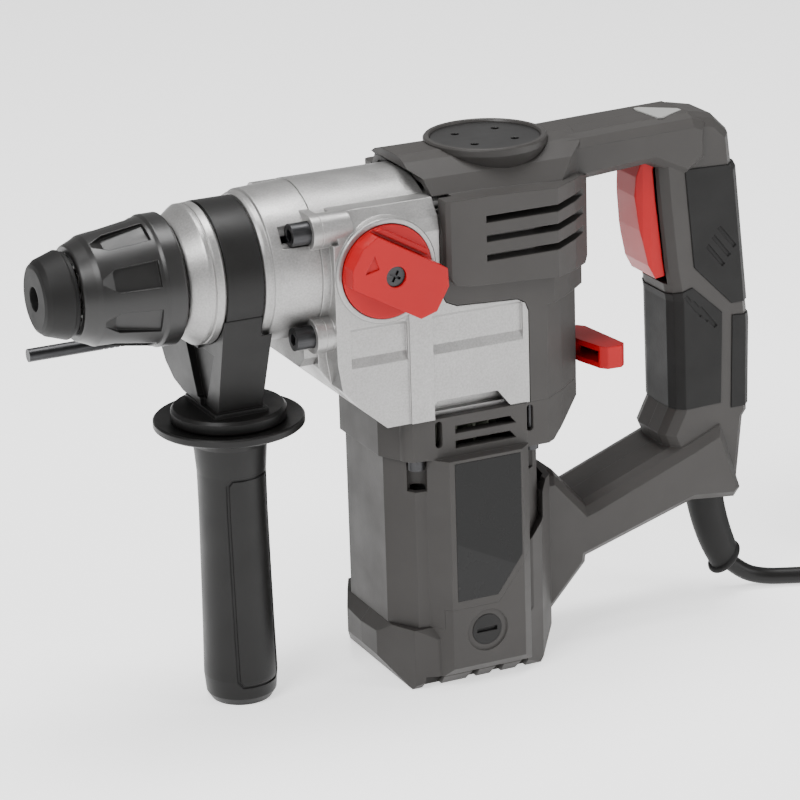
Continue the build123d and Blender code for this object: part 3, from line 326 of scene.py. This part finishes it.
# Base colours, as linear red, green and blue.
GREY = (0.039, 0.0365, 0.0347)
BLACK = (0.006, 0.0057, 0.0055)
RED = (0.36, 0.002, 0.0045)
FINISHES = {
    cast_metal("cast_aluminium", (0.33, 0.325, 0.32), 0.38):
        ["front_cover", "gear_housing", "gear_plate"],
    moulded("grey_housing", GREY, 0.52, 0.8, 0.3):
        ["motor_housing", "handle_shell_left", "handle_shell_right"],
    moulded("grey_ring", shade(GREY, 0.9), 0.42, 0.8, 0.15):
        ["lid_ring"],
    moulded("fan_plastic", (0.13, 0.14, 0.11), 0.5):
        ["fan"],
    moulded("black_nylon", BLACK, 0.42):
        ["side_grip", "handle_bracket", "clamp_band", "brush_caps", "trigger_switch"],
    # The sleeve's edges get the strongest painted highlight, 1.6 times its colour.
    moulded("black_sleeve", shade(BLACK, 1.3), 0.36, 0.6, 0.12, 0.8, edge_highlight_tone=1.6, specular=0.45):
        ["locking_sleeve", "grease_cap"],
    moulded("black_rubber", shade(BLACK, 0.85), 0.58, 0.6, 0.2, 0.8):
        ["dust_cap", "oil_seal", "strain_relief", "plug"],
    moulded("grip_rubber", shade(BLACK, 0.95), 0.6, 0.9, 0.35, 0.7):
        ["grip_pads"],
    moulded("tie_rubber", shade(BLACK, 0.8), 0.5):
        ["cord_tie"],
    moulded("carbon_block", (0.02, 0.02, 0.021), 0.5):
        ["carbon_brushes"],
    moulded("red_moulding", RED, 0.38, 1.0, 0.08, 0.9, coat=0.06, edge_highlight_tone=1.15, specular=0.2):
        ["trigger", "function_lever", "selector_knob"],
    machined("bright_steel_x", (0.62, 0.62, 0.61), 0.28, "X"):
        ["tool_holder", "impact_bolt", "hammer_tube", "striker", "piston", "connecting_rod", "shift_fork"],
    machined("bright_steel_z", (0.6, 0.6, 0.59), 0.3, "Z"):
        ["piston_pin", "crankshaft", "crank_gear", "bevel_gear", "intermediate_shaft",
         "intermediate_gear", "armature_shaft"],
    machined("bearing_steel", (0.7, 0.7, 0.69), 0.16, "Z", 0.2, 0.08):
        ["shaft_bearings", "tube_bearings", "armature_bearings", "locking_balls"],
    machined("black_screws", (0.05, 0.05, 0.052), 0.36, "X", 0.3, 0.15):
        ["cover_screws", "housing_screws", "shell_screws", "clamp_bolt", "knob_screw", "sleeve_spring",
         "depth_rod"],
    machined("brass_holder", (0.72, 0.52, 0.24), 0.3, "Y"):
        ["brush_holders"],
    machined("copper_bars", (0.7, 0.36, 0.2), 0.3, "Z"):
        ["commutator"],
    laminated("lacquered_sheets", (0.34, 0.34, 0.35)):
        ["armature_core", "stator_core"],
    wound("copper_windings", (0.62, 0.27, 0.12)):
        ["armature_windings", "field_coils"],
    label_foil():
        ["label_plates"],
}


def finish_nodes():
    for finish, names in FINISHES.items():
        for name in names:
            mesh = nodes[name].data
            mesh.materials.clear()
            mesh.materials.append(finish)


finish_nodes()
cord.data.materials.append(moulded("cord_sheath", shade(BLACK, 0.9), 0.42, 0.9, 0.1))


# ---------------------------------------------------------------- pieces that are only looks

EMBLEM = [(286.2, 4.4), (286.8, 7.0), (289.4, 7.2), (303.4, -3.6), (303.8, -6.6), (290.6, -13.6),
          (288.0, -12.8)]
EMBLEM_LOW, EMBLEM_HIGH = 40.9, 41.7
EMBLEM_CHAMFER = 0.12


def plate(name, outline, low, high, body, finish):
    """Thin plate with a level plan outline, in millimetres, from height low to high."""
    mesh = bpy.data.meshes.new(name)
    shape = bmesh.new()
    ring = [shape.verts.new((x * MM, y * MM, low * MM)) for x, y in outline]
    face = shape.faces.new(ring)
    face.normal_update()
    risen = bmesh.ops.extrude_face_region(shape, geom=[face])
    tops = [v for v in risen["geom"] if isinstance(v, bmesh.types.BMVert)]
    bmesh.ops.translate(shape, verts=tops, vec=(0, 0, (high - low) * MM))
    bmesh.ops.recalc_face_normals(shape, faces=shape.faces)
    bmesh.ops.bevel(shape, geom=shape.edges, offset=EMBLEM_CHAMFER * MM, segments=2, affect="EDGES")
    shape.to_mesh(mesh)
    shape.free()
    piece = bpy.data.objects.new(name, mesh)
    bpy.context.scene.collection.objects.link(piece)
    mesh.materials.append(finish)
    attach(piece, body)
    return piece


pale = moulded("pale_emblem", (0.30, 0.30, 0.29), 0.4, grain=0.1)
plate("bar_emblem", EMBLEM, EMBLEM_LOW, EMBLEM_HIGH, "body", pale)


# ---------------------------------------------------------------- floor and lights

FLOOR_HALF = 6.0            # half the floor's width, in metres
FLOOR_GLOW = 1.1
SKY_STRENGTH = 0.42
# Each lamp's place and size, in metres, and its power in watts.
LAMPS = {
    "key": ((-1.0, -0.7, 1.3), 0.7, 0.7, 27),
    "top": ((0.3, 0.2, 1.6), 1.0, 0.7, 34),
    "side": ((1.2, -1.0, 0.4), 0.4, 1.2, 9),
}


def make_floor():
    mesh = bpy.data.meshes.new("floor")
    half = FLOOR_HALF
    corners = [(x, y, FLOOR) for x, y in ((-half, -half), (half, -half), (half, half), (-half, half))]
    mesh.from_pydata(corners, [], [(0, 1, 2, 3)])
    floor = bpy.data.objects.new("floor", mesh)
    bpy.context.scene.collection.objects.link(floor)
    g = Graph("floor_paper")
    tone = g.spread(g.noise(300, 3), 0.0, 1.0)
    g.wire(g.mix(tone, (0.93, 0.93, 0.93), (0.95, 0.95, 0.95)), g.surface.inputs["Base Color"])
    g.set_surface(Roughness=0.75, Specular_IOR_Level=0.2)
    g.set_surface(Emission_Color=(1, 1, 1, 1), Emission_Strength=FLOOR_GLOW)
    mesh.materials.append(g.material)


def softbox(name, place, width, height, power):
    """A soft rectangular lamp that points at the object's middle."""
    data = bpy.data.lights.new(name, "AREA")
    data.shape = "RECTANGLE"
    data.size = width
    data.size_y = height
    data.energy = power
    lamp = bpy.data.objects.new(name, data)
    bpy.context.scene.collection.objects.link(lamp)
    lamp.location = place
    lamp.rotation_euler = (Vector(MIDDLE) - Vector(place)).to_track_quat("-Z", "Y").to_euler()


def light_studio():
    world = bpy.data.worlds.new("studio")
    world.use_nodes = True
    sky = world.node_tree.nodes["Background"]
    sky.inputs["Color"].default_value = (1, 1, 1, 1)
    sky.inputs["Strength"].default_value = SKY_STRENGTH
    bpy.context.scene.world = world
    for name, settings in LAMPS.items():
        softbox(name, *settings)


make_floor()
light_studio()
